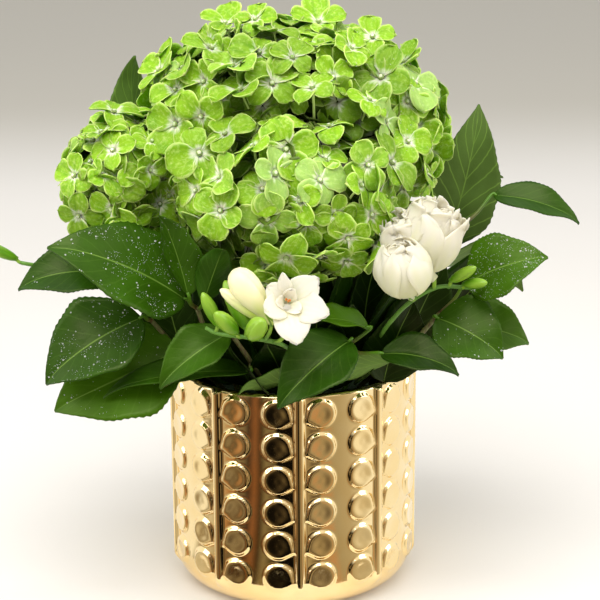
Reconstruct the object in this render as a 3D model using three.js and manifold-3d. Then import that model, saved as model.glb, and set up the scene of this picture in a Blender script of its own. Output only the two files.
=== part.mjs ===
// Floral table centerpiece: green hydrangeas, white freesias and lemon-leaf foliage in an embossed gold-glazed
// ceramic vase. Millimetres, +Z up. The origin is the centre of the vase's foot, on the table, and the front
// of the arrangement faces -Y.
import * as THREE from "three";
import { mergeVertices } from "three/addons/utils/BufferGeometryUtils.js";
import Module from "manifold-3d";

const wasm = await Module();
wasm.setup();

// ---- driving dimensions -----------------------------------------------------------------------------------
const VASE_RADIUS = 60;
const VASE_HEIGHT = 112;
const WALL = 4.5; // thickness of the fired wall
const FLOOR = 7; // thickness of the vase's bottom
const BORE_CORNER = 3; // rounding between the bore and its floor, on which the foam's corners rest
const FOOT_CORNER = 15; // radius of the rounded corner between wall and foot
const LIP = 1.4; // rounding of the rim
const PANELS = 9; // embossed panels round the vase, each between two ribs
const RIB_RADIUS = 2.1;
const ROWS = 6; // rows of medallions
const ROW_PITCH = 16.6;
const FIRST_ROW = 19.6; // height of the lowest row's centres
const MEDALLION_RADIUS = 7.6;
const MEDALLION_RISE = 1.2; // how far a medallion's flat face stands off the wall
const RIB_PHASE = 2.9; // degrees from the front to the nearest rib

const FOAM_SIDE = 77; // a block cut from a brick of wet floral foam, wedged in the bore by its corners
const FOAM_TOP = 98;
const GAP = 0.4; // clearance between a piece and the one that it is pushed into or rests against

const LEAF_THICKNESS = 0.9;
const LEAF_STATIONS = 6;

const GOLD = 0xe8c27a;
const FOAM_GREEN = 0x2f4a2c;
const SEPAL_GREEN = 0x8cc63f;
const STEM_GREEN = 0x5f7f3a;
const LEAF_GREEN = 0x2c5a1c;
const TWIG_BROWN = 0x5a4a2e;
const BUD_GREEN = 0x8fb948;
const PETAL_WHITE = 0xf6f1e2;

const material = (color, roughness, metalness = 0) => new THREE.MeshStandardMaterial({ color, roughness, metalness });
const gold = material(GOLD, 0.12, 1);
const foamGreen = material(FOAM_GREEN, 0.95);
const sepalGreen = material(SEPAL_GREEN, 0.6);
const stemGreen = material(STEM_GREEN, 0.55);
const leafGreen = material(LEAF_GREEN, 0.35);
const twigBrown = material(TWIG_BROWN, 0.7);
const budGreen = material(BUD_GREEN, 0.4);
const petalWhite = material(PETAL_WHITE, 0.5);

const at = (p) => new THREE.Vector3(...p);
const radians = THREE.MathUtils.degToRad;
const arrangement = new THREE.Group();

function add(name, geometry, finish) {
  const mesh = new THREE.Mesh(geometry, finish);
  mesh.name = name;
  arrangement.add(mesh);
  return mesh;
}

// ---- solids: three.js geometry to a manifold and back, for the cuts and joins -----------------------------
function solidOf(geometry) {
  const bare = geometry.clone();
  bare.deleteAttribute("normal");
  bare.deleteAttribute("uv");
  const merged = mergeVertices(bare, 1e-3);
  const made = new wasm.Manifold(
    new wasm.Mesh({
      numProp: 3,
      vertProperties: merged.attributes.position.array,
      triVerts: new Uint32Array(merged.index.array),
    }),
  );
  return made;
}

function geometryOf(solid) {
  const mesh = solid.getMesh();
  return new THREE.BufferGeometry()
    .setAttribute("position", new THREE.BufferAttribute(mesh.vertProperties, 3))
    .setIndex(new THREE.BufferAttribute(mesh.triVerts, 1));
}

// ---- vase -------------------------------------------------------------------------------------------------
// Points of an arc in the lathe's (radius, height) plane, from one angle to another in degrees.
function arc(r, z, radius, from, to, steps) {
  return Array.from({ length: steps + 1 }, (_, i) => {
    const a = radians(from + ((to - from) * i) / steps);
    return new THREE.Vector2(r + radius * Math.cos(a), z + radius * Math.sin(a));
  });
}

function vaseBody() {
  const bore = VASE_RADIUS - WALL;
  const profile = [
    new THREE.Vector2(0, 0),
    ...arc(VASE_RADIUS - FOOT_CORNER, FOOT_CORNER, FOOT_CORNER, -90, 0, 5),
    ...arc(VASE_RADIUS - LIP, VASE_HEIGHT - LIP, LIP, 0, 90, 2),
    ...arc(bore + LIP, VASE_HEIGHT - LIP, LIP, 90, 180, 2),
    ...arc(bore - BORE_CORNER, FLOOR + BORE_CORNER, BORE_CORNER, 0, -90, 2),
    new THREE.Vector2(0, FLOOR),
  ];
  return new THREE.LatheGeometry(profile, 4 * PANELS).rotateX(Math.PI / 2);
}

// Turns a piece that was made facing +X round to an angle from the front, in degrees.
const roundVase = (geometry, angle) => geometry.rotateZ(radians(angle - 90));

function rib(angle) {
  const length = VASE_HEIGHT - FOOT_CORNER - 2 * LIP;
  const roll = new THREE.CylinderGeometry(RIB_RADIUS, RIB_RADIUS, length, 6).rotateX(Math.PI / 2);
  return roundVase(roll.translate(VASE_RADIUS - 0.4, 0, FOOT_CORNER + length / 2), angle);
}

// A medallion is a shallow drum whose flat face stands proud of the round wall.
function medallion(angle, height) {
  const depth = MEDALLION_RISE + 2;
  const drum = new THREE.CylinderGeometry(MEDALLION_RADIUS - 0.8, MEDALLION_RADIUS, depth, 7).rotateZ(-Math.PI / 2);
  return roundVase(drum.translate(VASE_RADIUS + MEDALLION_RISE - depth / 2, 0, height), angle);
}

function vase() {
  let solid = solidOf(vaseBody());
  const panel = 360 / PANELS;
  for (let i = 0; i < PANELS; i++) {
    const ribAngle = RIB_PHASE + i * panel;
    solid = solid.add(solidOf(rib(ribAngle)));
    for (const side of [-1, 1])
      for (let row = 0; row < ROWS; row++)
        solid = solid.add(solidOf(medallion(ribAngle + (side * panel) / 4, FIRST_ROW + row * ROW_PITCH)));
  }
  return geometryOf(solid);
}

// ---- stems ------------------------------------------------------------------------------------------------
function tube(route, radius, sides, steps) {
  const section = new THREE.Shape(
    Array.from({ length: sides }, (_, i) => {
      const a = (2 * Math.PI * i) / sides;
      return new THREE.Vector2(radius * Math.cos(a), radius * Math.sin(a));
    }),
  );
  const extrudePath = new THREE.CatmullRomCurve3(route.map(at), false, "centripetal");
  return new THREE.ExtrudeGeometry(section, { steps, bevelEnabled: false, extrudePath });
}

const HYDRANGEA_STEM = 3.2;
const TWIG = 1.5;
const FREESIA_STEM = 1.3;

// Each stem's route starts inside the foam and ends at what it carries.
const HYDRANGEA_STEMS = {
  hydrangea_stem_top: [[6, 8, 45], [6, 8, 98], [10, 8, 135], [12, 8, 168]],
  hydrangea_stem_front: [[-4, -14, 50], [-4, -14, 98], [-6, -20, 128], [-7, -24, 151]],
  hydrangea_stem_left: [[-20, 6, 50], [-20, 6, 98], [-42, 2, 132], [-71, -2, 171]],
  hydrangea_stem_back: [[10, 28, 50], [10, 28, 98], [14, 38, 128], [16, 50, 150]],
};

const TWIGS = {
  lemon_leaf_twig_left_upper: [[-22, -22, 60], [-24, -25, 98], [-37, -45, 130], [-44, -52, 153]],
  lemon_leaf_twig_left_lower: [[-31, -12, 60], [-32, -14, 98], [-47, -30, 117], [-66, -47, 146]],
  lemon_leaf_twig_left_back: [[-31, 14, 60], [-32, 14, 98], [-58, 0, 135], [-80, -10, 158]],
  lemon_leaf_twig_front: [[4, -30, 60], [4, -31, 98], [9, -42, 116], [24, -52, 133]],
  lemon_leaf_twig_front_left: [[-10, -31, 60], [-10, -32, 98], [-16, -50, 120], [-27, -62, 142]],
  lemon_leaf_twig_right_lower: [[30, -14, 60], [31, -15, 98], [50, -36, 122], [70, -40, 146]],
  lemon_leaf_twig_right_upper: [[31, 8, 60], [32, 8, 98], [58, 8, 140], [84, 5, 178]],
  lemon_leaf_twig_back: [[-14, 31, 60], [-16, 32, 98], [-30, 56, 130], [-44, 66, 156]],
};

const FREESIA_STEMS = {
  freesia_stem_front: [
    [14, -22, 60], [14, -24, 98], [13, -46, 116], [5, -61, 131], [-11, -80, 146], [-30, -80, 148], [-39, -77, 151],
  ],
  freesia_stem_right: [
    [24, -4, 60], [26, -8, 98], [41, -40, 134], [53, -57, 155], [66, -55, 163], [79, -50, 161], [90, -51, 163],
  ],
  freesia_stem_left: [[-22, -4, 60], [-24, -4, 98], [-55, -12, 132], [-100, -6, 156], [-131, -14, 166]],
};

// ---- hydrangea heads: the outer shape of each ball of florets ---------------------------------------------
const HEADS = {
  hydrangea_head_front: { centre: [-5, -30, 201], radii: [58, 51, 50], bottom: 152 },
  hydrangea_head_top: { centre: [-1, 8, 222], radii: [76, 61, 62], bottom: 172, shoulder: 0.12 },
  hydrangea_head_left: { centre: [-76, -10, 204], radii: [36, 40, 38], bottom: 177 },
  hydrangea_head_back: { centre: [8, 57, 199], radii: [52, 42, 46], bottom: 154 },
};

// A shoulder fills the upper half of a ball out towards a flatter top.
function ball({ centre, radii, shoulder = 0 }, grow = 0) {
  const [rx, ry, rz] = radii.map((r) => r + grow);
  const sphere = new THREE.SphereGeometry(1, 20, 14).rotateX(Math.PI / 2);
  const position = sphere.getAttribute("position");
  for (let i = 0; i < position.count; i++) {
    const z = position.getZ(i);
    if (z > 0) position.setZ(i, z * (1 + shoulder * (1 - z * z)));
  }
  return sphere.scale(rx, ry, rz).translate(...centre);
}

// A ball is pressed in by the ones arranged before it, and open florets don't reach under its own bottom.
function head(name) {
  const spec = HEADS[name];
  let solid = solidOf(ball(spec));
  for (const earlier of Object.keys(HEADS)) {
    if (earlier === name) break;
    solid = solid.subtract(solidOf(ball(HEADS[earlier], 0.6)));
  }
  const under = new THREE.BoxGeometry(400, 400, 100).translate(0, 0, spec.bottom - 50);
  return geometryOf(solid.subtract(solidOf(under)));
}

// ---- leaves -----------------------------------------------------------------------------------------------
// Half-width of a lemon leaf as a share of its widest, from petiole (0) to drip tip (1).
const leafOutline = (t) => Math.pow(Math.sin(Math.PI * Math.pow(t, 0.72)), 0.85);

// from: foot of the petiole. to: tip. width: across the blade. arch: rise of the midrib above the straight line,
// as a share of the length. turn: degrees that the blade's face is turned round the midrib, from facing up.
// fold: how far the two halves lift from the midrib, as a share of the half-width.
function leaf({ from, to, width, arch = 0.1, turn = 0, fold = 0.25 }) {
  const foot = at(from);
  const chord = at(to).sub(foot);
  const along = chord.clone().normalize();
  const up = new THREE.Vector3(0, 0, 1);
  const level = up.sub(along.clone().multiplyScalar(up.dot(along))).normalize();
  const face = level.applyAxisAngle(along, radians(turn));
  const across = along.clone().cross(face);
  const blade = new THREE.BoxGeometry(2, 1, 1, 2, LEAF_STATIONS, 1);
  const points = blade.getAttribute("position");
  for (let i = 0; i < points.count; i++) {
    const side = points.getX(i);
    const t = points.getY(i) + 0.5;
    const half = Math.max((width / 2) * leafOutline(Math.min(Math.max(t, 0), 1)), 0.9);
    const rise = arch * chord.length() * 4 * t * (1 - t) + fold * half * Math.abs(side);
    const p = foot
      .clone()
      .addScaledVector(chord, t)
      .addScaledVector(across, side * half)
      .addScaledVector(face, rise + points.getZ(i) * LEAF_THICKNESS);
    points.setXYZ(i, p.x, p.y, p.z);
  }
  return blade;
}

const LEAVES = {
  // left, from the upper front to the back
  lemon_leaf_left_1: { from: [-49, -54, 158], to: [-108, -74, 190], width: 46, arch: 0.07, turn: -48, fold: 0.15 },
  lemon_leaf_left_2: { from: [-86, -14, 160], to: [-132, -22, 156], width: 30, arch: 0.12, turn: -40, fold: 0.3 },
  lemon_leaf_left_3: { from: [-70, -52, 149], to: [-115, -66, 122], width: 42, arch: 0.1, turn: -42, fold: 0.2 },
  lemon_leaf_left_4: { from: [-53, -46, 131], to: [-112, -61, 107], width: 47, arch: 0.08, turn: -52, fold: 0.15 },
  lemon_leaf_left_5: { from: [-50, -28, 120], to: [-84, -30, 138], width: 34, arch: 0.08, turn: -60, fold: 0.2 },
  lemon_leaf_left_6: { from: [-47, -69, 164], to: [-58, -76, 204], width: 21, arch: 0.06, turn: 30, fold: 0.4 },
  lemon_leaf_left_7: { from: [-40, -75, 162], to: [-30, -88, 191], width: 16, arch: 0.12, turn: -40, fold: 0.5 },
  // front, over the rim
  lemon_leaf_front_1: { from: [-29, -66, 145], to: [-61, -80, 124], width: 24, arch: 0.12, turn: -35, fold: 0.4 },
  lemon_leaf_front_2: { from: [-20, -58, 124], to: [-88, -68, 118], width: 22, arch: 0.06, turn: -15, fold: 0.3 },
  lemon_leaf_front_3: { from: [3, -50, 117], to: [-26, -66, 117], width: 16, arch: 0.05, turn: 50, fold: 0.2 },
  lemon_leaf_front_4: { from: [27, -65, 141], to: [-7, -86, 116], width: 32, arch: 0.14, turn: -35, fold: 0.3 },
  lemon_leaf_front_5: { from: [46, -50, 126], to: [12, -62, 116], width: 16, arch: 0.08, turn: 60, fold: 0.2 },
  lemon_leaf_front_6: { from: [41, -64, 134], to: [77, -72, 127], width: 22, arch: 0.12, turn: 30, fold: 0.3 },
  lemon_leaf_front_7: { from: [36, -56, 144], to: [4, -68, 152], width: 18, arch: 0.1, turn: -20, fold: 0.3 },
  // right, from the lower front to the back
  lemon_leaf_right_1: { from: [68, -46, 146], to: [99, -58, 130], width: 35, arch: 0.12, turn: 42, fold: 0.2 },
  lemon_leaf_right_2: { from: [83, -36, 160], to: [119, -47, 176], width: 35, arch: 0.1, turn: 48, fold: 0.2 },
  lemon_leaf_right_3: { from: [79, 36, 160], to: [95, 32, 233], width: 37, arch: 0.06, turn: 106, fold: 0.15 },
  lemon_leaf_right_4: { from: [101, 16, 191], to: [143, 6, 180], width: 19, arch: 0.12, turn: 35, fold: 0.3 },
  lemon_leaf_right_5: { from: [78, -26, 136], to: [114, -34, 130], width: 32, arch: 0.1, turn: 40, fold: 0.2 },
  // back ring
  lemon_leaf_back_1: { from: [-68, 28, 152], to: [-118, 52, 136], width: 46, arch: 0.12, turn: 30, fold: 0.2 },
  lemon_leaf_back_2: { from: [-48, 56, 144], to: [-82, 100, 118], width: 48, arch: 0.12, turn: 15, fold: 0.2 },
  lemon_leaf_back_3: { from: [-6, 68, 138], to: [-4, 122, 108], width: 48, arch: 0.14, turn: 0, fold: 0.2 },
  lemon_leaf_back_4: { from: [44, 60, 142], to: [76, 102, 114], width: 48, arch: 0.12, turn: -15, fold: 0.2 },
  lemon_leaf_back_5: { from: [72, 34, 150], to: [122, 54, 134], width: 46, arch: 0.12, turn: -30, fold: 0.2 },
  lemon_leaf_back_6: { from: [-70, 40, 186], to: [-80, 44, 258], width: 36, arch: 0.06, turn: 150, fold: 0.15 },
  lemon_leaf_back_7: { from: [-62, 52, 168], to: [-102, 82, 186], width: 38, arch: 0.1, turn: 35, fold: 0.2 },
  lemon_leaf_back_8: { from: [78, 60, 168], to: [112, 84, 188], width: 38, arch: 0.1, turn: -35, fold: 0.2 },
};

// ---- freesia flowers and buds -----------------------------------------------------------------------------
// Turns a piece that was made standing on the origin along +Z, so that it stands at foot and points to tip.
function pointing(geometry, foot, tip) {
  const way = at(tip).sub(at(foot)).normalize();
  const turn = new THREE.Quaternion().setFromUnitVectors(new THREE.Vector3(0, 0, 1), way);
  return geometry.applyQuaternion(turn).translate(...foot);
}

function bud({ from, to, radius }) {
  const length = at(to).distanceTo(at(from));
  const profile = [
    [0, 0], [0.45, 0.03], [0.85, 0.25], [1, 0.5], [0.75, 0.78], [0.3, 0.96], [0, 1],
  ].map(([r, z]) => new THREE.Vector2(r * radius, z * length));
  return pointing(new THREE.LatheGeometry(profile, 8).rotateX(Math.PI / 2), from, to);
}

// An open flower: a narrow tube that flares to a full cup, packed with tepals to its mouth.
function bloom({ from, to, radius }) {
  const length = at(to).distanceTo(at(from));
  const profile = [
    [0, 0], [0.14, 0.02], [0.2, 0.18], [0.55, 0.36], [0.92, 0.56], [1, 0.78], [0.84, 0.94], [0.4, 1], [0, 0.98],
  ].map(([r, z]) => new THREE.Vector2(r * radius, z * length));
  return pointing(new THREE.LatheGeometry(profile, 12).rotateX(Math.PI / 2), from, to);
}

const BLOOMS = {
  freesia_flower_front: { from: [-3, -84, 149], to: [8, -94, 178], radius: 15 },
  freesia_flower_right_1: { from: [55, -65, 161], to: [46, -85, 185], radius: 13 },
  freesia_flower_right_2: { from: [66, -59, 168], to: [65, -63, 207], radius: 17 },
};

const BUDS = {
  freesia_bud_front_opening: { from: [-10, -84, 152], to: [-21, -85, 184], radius: 6.5 },
  freesia_bud_front_1: { from: [-18, -88, 150], to: [-13, -100, 161], radius: 5.2 },
  freesia_bud_front_2: { from: [-20, -82, 152], to: [-30, -80, 174], radius: 4.6 },
  freesia_bud_front_3: { from: [-25, -85, 151], to: [-34, -94, 163], radius: 4.2 },
  freesia_bud_front_4: { from: [-33, -80, 153], to: [-40, -82, 169], radius: 3.4 },
  freesia_bud_right_1: { from: [74, -54, 166], to: [85, -60, 174], radius: 3 },
  freesia_bud_right_2: { from: [80, -53, 164], to: [90, -62, 167], radius: 2.8 },
  freesia_bud_left_1: { from: [-133, -14, 168], to: [-152, -17, 178], radius: 3.2 },
};

// ---- assembly ---------------------------------------------------------------------------------------------
add("vase", vase(), gold);

const stems = { ...HYDRANGEA_STEMS, ...TWIGS, ...FREESIA_STEMS };
const stemRadius = (name) =>
  name in HYDRANGEA_STEMS ? HYDRANGEA_STEM : name in TWIGS ? TWIG : FREESIA_STEM;
const stemFinish = (name) => (name in TWIGS ? twigBrown : stemGreen);
const stem = (name, grow = 0) =>
  tube(stems[name], stemRadius(name) + grow, name in HYDRANGEA_STEMS ? 8 : 6, 3 * stems[name].length);

function foam() {
  const bottom = FLOOR + BORE_CORNER + GAP;
  const height = FOAM_TOP - bottom;
  let solid = solidOf(new THREE.BoxGeometry(FOAM_SIDE, FOAM_SIDE, height).translate(0, 0, bottom + height / 2));
  const radius = VASE_RADIUS - WALL - 2 * GAP;
  const bore = new THREE.CylinderGeometry(radius, radius, 2 * VASE_HEIGHT, 6 * PANELS).rotateX(Math.PI / 2);
  solid = solid.intersect(solidOf(bore));
  for (const [name, route] of Object.entries(stems)) {
    const hole = stemRadius(name) + GAP;
    const end = new THREE.CylinderGeometry(hole, hole, 2, 8).rotateX(Math.PI / 2).translate(...route[0]);
    solid = solid.subtract(solidOf(stem(name, GAP))).subtract(solidOf(end));
  }
  return geometryOf(solid);
}

add("floral_foam", foam(), foamGreen);
for (const name of Object.keys(stems)) add(name, stem(name), stemFinish(name));
for (const name of Object.keys(HEADS)) add(name, head(name), sepalGreen);
for (const [name, spec] of Object.entries(LEAVES)) add(name, leaf(spec), leafGreen);
for (const [name, spec] of Object.entries(BLOOMS)) add(name, bloom(spec), petalWhite);
for (const [name, spec] of Object.entries(BUDS)) add(name, bud(spec), budGreen);

export default arrangement;
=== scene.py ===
"""Looks of a floral table centerpiece: hydrangeas, freesias and lemon-leaf foliage in a gold-glazed vase."""

import math
import random

import bmesh
import bpy
from bpy.props import FloatProperty, FloatVectorProperty, IntProperty, PointerProperty
from mathutils import Matrix, Vector, noise
from mathutils.bvhtree import BVHTree
from mathutils.kdtree import KDTree


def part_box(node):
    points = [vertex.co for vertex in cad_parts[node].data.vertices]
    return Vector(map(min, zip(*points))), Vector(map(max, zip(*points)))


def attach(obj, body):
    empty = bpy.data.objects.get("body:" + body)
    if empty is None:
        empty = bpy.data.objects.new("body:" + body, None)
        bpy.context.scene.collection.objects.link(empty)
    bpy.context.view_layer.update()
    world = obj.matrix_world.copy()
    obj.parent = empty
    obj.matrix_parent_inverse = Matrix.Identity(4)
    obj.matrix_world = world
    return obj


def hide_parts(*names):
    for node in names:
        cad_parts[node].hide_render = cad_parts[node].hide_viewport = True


bl_info = {
    "name": "Floral Centerpiece",
    "version": (1, 0, 0),
    "blender": (4, 5, 0),
    "location": "3D View > Sidebar > Centerpiece",
    "description": "Flowers, foliage and gold-glazed vase built round a fixed frame",
    "category": "Object",
}

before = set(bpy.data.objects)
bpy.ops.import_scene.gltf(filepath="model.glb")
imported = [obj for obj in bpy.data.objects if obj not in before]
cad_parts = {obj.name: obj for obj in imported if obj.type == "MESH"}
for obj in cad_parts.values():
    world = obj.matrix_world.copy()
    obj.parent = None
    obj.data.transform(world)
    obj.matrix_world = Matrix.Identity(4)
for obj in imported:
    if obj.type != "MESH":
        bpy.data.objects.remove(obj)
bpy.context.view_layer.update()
NODES = sorted(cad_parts)
MM = 0.001
HEART = Vector((0, 0, 0.15))  # middle of the arrangement, where the stems leave the vase


def linear(colour):
    """Linear colour of an sRGB hex value."""
    values = [int(colour[i : i + 2], 16) / 255 for i in (1, 3, 5)]
    return tuple(c / 12.92 if c <= 0.04045 else ((c + 0.055) / 1.055) ** 2.4 for c in values) + (1.0,)


def smooth(low, high, x):
    """Smooth step of x from low to high."""
    t = min(max((x - low) / (high - low), 0.0), 1.0)
    return t * t * (3 - 2 * t)


# ---- settings ------------------------------------------------------------------------------------
def colour_property(name, description, value):
    return FloatVectorProperty(
        name=name, description=description, default=linear(value)[:3], subtype="COLOR", size=3, min=0, max=1
    )


def amount_property(name, description, value, **limits):
    return FloatProperty(name=name, description=description, default=value, **limits)


def length_property(name, description, millimetres):
    return FloatProperty(name=name, description=description, default=millimetres * MM, min=0, unit="LENGTH")


class VaseLook(bpy.types.PropertyGroup):
    gold: colour_property("Gold", "Colour of the gold lustre fired on the glaze", "#FFE6AF")
    roughness: amount_property("Roughness", "Roughness of the gold", 0.07, min=0, max=1)
    relief: length_property("Relief", "How far the embossed medallions stand off the wall", 1.5)
    rib: length_property("Rib", "How far the ribs between the panels stand off the wall", 2.1)
    steps: IntProperty(name="Steps", description="Segments round the vase", default=522, min=90)


class HydrangeaLook(bpy.types.PropertyGroup):
    sepal_length: length_property("Sepal length", "From the middle of a floret to a sepal's tip", 14.5)
    spacing: length_property("Spacing", "Distance between the middles of neighbouring florets", 18)
    green: colour_property("Green", "Colour of a sepal's blade", "#88B41A")
    deep: colour_property("Deep green", "Colour between the veins, and deep in the head", "#6FA00A")
    margin: colour_property("Margin", "Colour of a sepal's margin and veins", "#D2E886")
    heart: colour_property("Heart", "Colour round the button in the middle of a floret", "#F2F6DC")


class FoliageLook(bpy.types.PropertyGroup):
    upper: colour_property("Upper side", "Colour of a leaf's upper side", "#234604")
    brighter_green: colour_property("Young", "Colour of a younger, brighter leaf", "#4A7408")
    under: colour_property("Underside", "Colour of a leaf's underside", "#5C7A34")
    vein: colour_property("Veins", "Colour of the midrib and the side veins", "#6F8F3A")
    bark: colour_property("Bark", "Colour of the twigs", "#5B4A2C")


class FreesiaLook(bpy.types.PropertyGroup):
    petal: colour_property("Petals", "Colour of the open tepals", "#FAF6E6")
    throat: colour_property("Throat", "Colour at the foot of the tepals", "#F3F3C8")
    bud: colour_property("Buds", "Colour of the closed buds", "#86AC32")
    stem: colour_property("Stems", "Colour of the stems", "#5E8A30")


class StageLook(bpy.types.PropertyGroup):
    floor: colour_property("Floor", "Colour of the floor", "#DBD7D1")
    key: amount_property("Key light", "Power of the soft box overhead", 33, unit="POWER")
    fill: amount_property("Fill light", "Power of the soft box by the camera", 2.3, unit="POWER")
    side: amount_property("Side lights", "Power of the soft boxes at the sides", 8, unit="POWER")


LOOKS = {
    "vase": VaseLook,
    "hydrangea": HydrangeaLook,
    "foliage": FoliageLook,
    "freesia": FreesiaLook,
    "stage": StageLook,
}


def look(name):
    """The settings of one part of the arrangement."""
    return getattr(bpy.context.scene, "centerpiece_" + name)


# ---- nodes ---------------------------------------------------------------------------------------
SOFT = {"interpolation_type": "SMOOTHSTEP"}  # a range whose ends ease in and out
SHADING = {"data_type": "RGBA", "blend_type": "MULTIPLY"}  # a mix that darkens one colour by another


def node(tree, kind, inputs=(), stops=None, **settings):
    """Adds a node. An input is a value, the output that feeds it, or a node, for its first output in use.

    Inputs are listed in order or by name or number, and stops are a ramp's places and colours."""
    made = tree.nodes.new("ShaderNode" + kind)
    for key, value in settings.items():
        setattr(made, key, value)
    for key, value in inputs.items() if isinstance(inputs, dict) else enumerate(inputs):
        if isinstance(value, bpy.types.Node):
            value = next(output for output in value.outputs if output.enabled)
        if isinstance(value, bpy.types.NodeSocket):
            tree.links.new(value, made.inputs[key])
        else:
            made.inputs[key].default_value = value
    if stops:
        ends = made.color_ramp.elements
        (ends[0].position, ends[0].color), (ends[1].position, ends[1].color) = stops[0], stops[-1]
        for place, colour in stops[1:-1]:
            ends.new(place).color = colour
    return made


def new_material(name):
    """A material with an empty node tree, and that tree."""
    material = bpy.data.materials.new(name)
    material.use_nodes = True
    material.node_tree.nodes.clear()
    return material, material.node_tree


def covered(material, surface, thin=0.0):
    """Ends a material with a surface. Light shines through the thin share of it."""
    tree = material.node_tree
    shader = node(tree, "BsdfPrincipled", surface)
    if thin:
        through = node(tree, "BsdfTranslucent", {"Color": surface["Base Color"]})
        shader = node(tree, "MixShader", [thin, shader, through])
    node(tree, "OutputMaterial", {"Surface": shader})
    return material


def surface_places(tree):
    """Where a point lies in space and on its piece's UV map, and the tone of the piece there."""
    place = node(tree, "TexCoord")
    split = node(tree, "SeparateXYZ", {"Vector": place.outputs["UV"]})
    return place.outputs["Object"], split, node(tree, "Attribute", attribute_name="tone").outputs["Fac"]


def from_middle(tree, u):
    """How far a place across a sepal or leaf lies from its midrib, 0 to 0.5."""
    off = node(tree, "Math", [u, 0.5], operation="SUBTRACT")
    return node(tree, "Math", [off], operation="ABSOLUTE")


def solid(colour):
    """A setting's colour with the opacity that sockets ask for."""
    return (*colour, 1)


def grey(value):
    return (value, value, value, 1)


# ---- meshes --------------------------------------------------------------------------------------
def new_mesh():
    """An empty bmesh with the layers that the materials read."""
    bm = bmesh.new()
    bm.loops.layers.uv.new("UVMap")
    bm.verts.layers.float.new("tone")
    return bm


def set_tone(bm, verts, value):
    tone = bm.verts.layers.float["tone"]
    for v in verts:
        v[tone] = value


def add_mesh(bm, mesh, matrix, tone=None):
    """Adds a copy of a template mesh in its place, with its own tone."""
    before = len(bm.verts)
    placed = mesh.copy()
    placed.transform(matrix)
    bm.from_mesh(placed)
    bpy.data.meshes.remove(placed)
    if tone is not None:
        bm.verts.ensure_lookup_table()
        set_tone(bm, bm.verts[before:], tone)


def template(bm, name="template"):
    """A mesh made from a bmesh, which it uses up."""
    mesh = bpy.data.meshes.new(name)
    bm.to_mesh(mesh)
    bm.free()
    return mesh


def finished(bm, name, materials, slot, nodes, thickness=None, under=0):
    """Makes the piece, smooth and in its place, that stands for the CAD nodes."""
    mesh = bpy.data.meshes.new(name)
    bm.to_mesh(mesh)
    bm.free()
    for material in materials:
        mesh.materials.append(material)
    mesh.shade_smooth()
    piece = bpy.data.objects.new(name, mesh)
    bpy.context.scene.collection.objects.link(piece)
    if thickness:
        shell = piece.modifiers.new("Thickness", "SOLIDIFY")
        shell.thickness = thickness
        shell.offset = -1
        shell.material_offset = under
    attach(piece, "root")
    if nodes:
        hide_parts(*nodes)
    return piece


def placing(point, normal, spin=0.0, scale=1.0):
    """The matrix that stands a template made on the origin on a point, with its +Z along the normal."""
    turn = Vector(normal).to_track_quat("Z", "Y").to_matrix().to_4x4()
    return Matrix.Translation(point) @ turn @ Matrix.Rotation(spin, 4, "Z") @ Matrix.Scale(scale, 4)


def new_grid(bm, columns, rows):
    """A square grid from -1 to 1 with a UV map, to be bent into a leaf, sepal or tepal."""
    before = set(bm.verts)
    bmesh.ops.create_grid(bm, x_segments=columns, y_segments=rows, size=1, calc_uvs=True)
    return [v for v in bm.verts if v not in before]


def turn_outline(bm, outline, steps):
    """Turns an outline of radii and heights round the Z axis."""
    verts = [bm.verts.new((r, 0, z)) for r, z in outline]
    edges = [bm.edges.new(pair) for pair in zip(verts, verts[1:])]
    whole = {"axis": (0, 0, 1), "cent": (0, 0, 0), "angle": 2 * math.pi, "use_merge": True}
    bmesh.ops.spin(bm, geom=verts + edges, steps=steps, **whole)
    bmesh.ops.remove_doubles(bm, verts=bm.verts, dist=0.001 * MM)


def jitter(draw, *limits):
    """A vector of three draws of one kind."""
    return Vector([draw(*limits) for _ in range(3)])


def add_tube(bm, path, radii, sides=8):
    """A round tube with closed ends along a path of points, one radius for each."""
    rings, last = [], len(path) - 1
    for i, (point, radius) in enumerate(zip(path, radii)):
        way = path[min(i + 1, last)] - path[max(i - 1, 0)]
        ring = bmesh.ops.create_circle(
            bm, cap_ends=i in (0, last), radius=radius, segments=sides, matrix=placing(point, way)
        )["verts"]
        rings.append(ring)
    for pair in zip(rings, rings[1:]):
        edges = []
        for ring in pair:
            edges += [e for e in {e for v in ring for e in v.link_edges} if all(v in ring for v in e.verts)]
        bmesh.ops.bridge_loops(bm, edges=edges)
    verts = [v for ring in rings for v in ring]
    faces = list({f for v in verts for f in v.link_faces})
    bmesh.ops.recalc_face_normals(bm, faces=faces)
    uv = bm.loops.layers.uv["UVMap"]
    share = {v: i / last for i, ring in enumerate(rings) for v in ring}
    for f in faces:
        for loop in f.loops:
            loop[uv].uv = (0.5, share[loop.vert])


def curve(points, steps):
    """Points on one smooth curve through a route."""
    ends = [points[0] * 2 - points[1]] + list(points) + [points[-1] * 2 - points[-2]]
    out = []
    for a, b, c, d in zip(ends, ends[1:], ends[2:], ends[3:]):
        for k in range(steps):
            t = k / steps
            point = 2 * b + (c - a) * t
            point += (2 * a - 5 * b + 4 * c - d) * t**2
            point += (3 * b - a - 3 * c + d) * t**3
            out.append(0.5 * point)
    return out + [points[-1]]


# ---- reading the frame ---------------------------------------------------------------------------
def welded(name):
    """A copy of a CAD node's mesh with its corners merged."""
    bm = bmesh.new()
    bm.from_mesh(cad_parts[name].data)
    bmesh.ops.remove_doubles(bm, verts=bm.verts, dist=0.05 * MM)
    return bm


def surface_of(name):
    """A search tree of a CAD node's faces."""
    bm = welded(name)
    tree = BVHTree.FromBMesh(bm)
    bm.free()
    return tree


def mean(points):
    return sum(points, Vector()) / len(points)


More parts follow.
